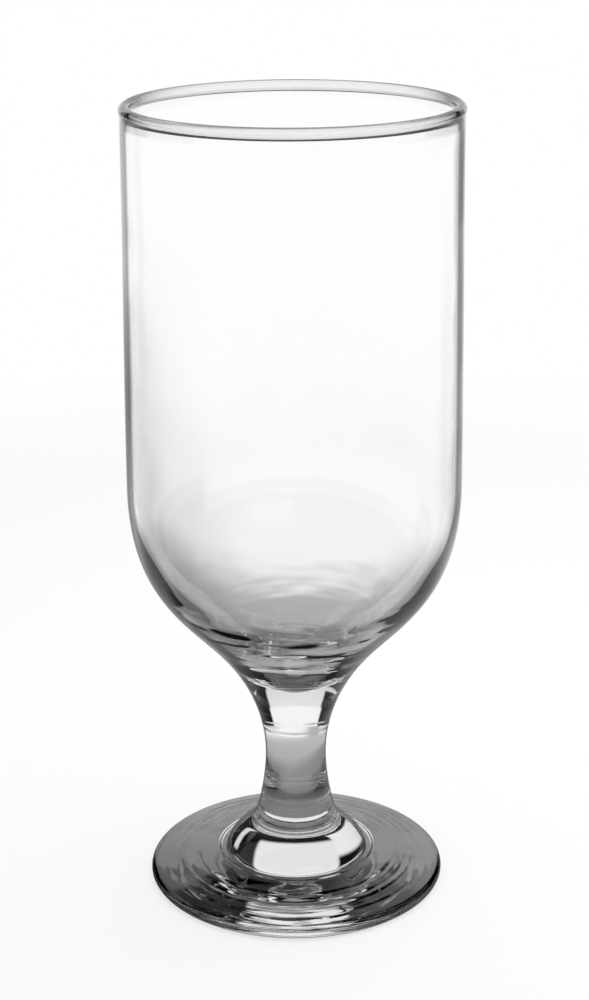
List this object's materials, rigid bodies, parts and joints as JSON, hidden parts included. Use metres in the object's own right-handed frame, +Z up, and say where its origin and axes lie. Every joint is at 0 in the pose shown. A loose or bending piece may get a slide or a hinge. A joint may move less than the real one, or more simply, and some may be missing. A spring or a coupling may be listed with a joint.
{
  "type": "beer goblet",
  "caption": "Tall clear glass beer goblet: near-cylindrical bowl with a beaded rim and rounded bottom, on a short solid stem and a round pressed foot.",
  "frame": {"origin": "on the turning axis, in the plane of the flat ring that the foot stands on", "axes": "+Z up along the turning axis, from the foot to the rim"},
  "size_m": [0.0736, 0.0736, 0.178],
  "materials": {
    "clear_glass": "gloss"
  },
  "bodies": {
    "root": {"bowl": "clear_glass", "stem": "clear_glass", "foot": "clear_glass"}
  },
  "joints": []
}
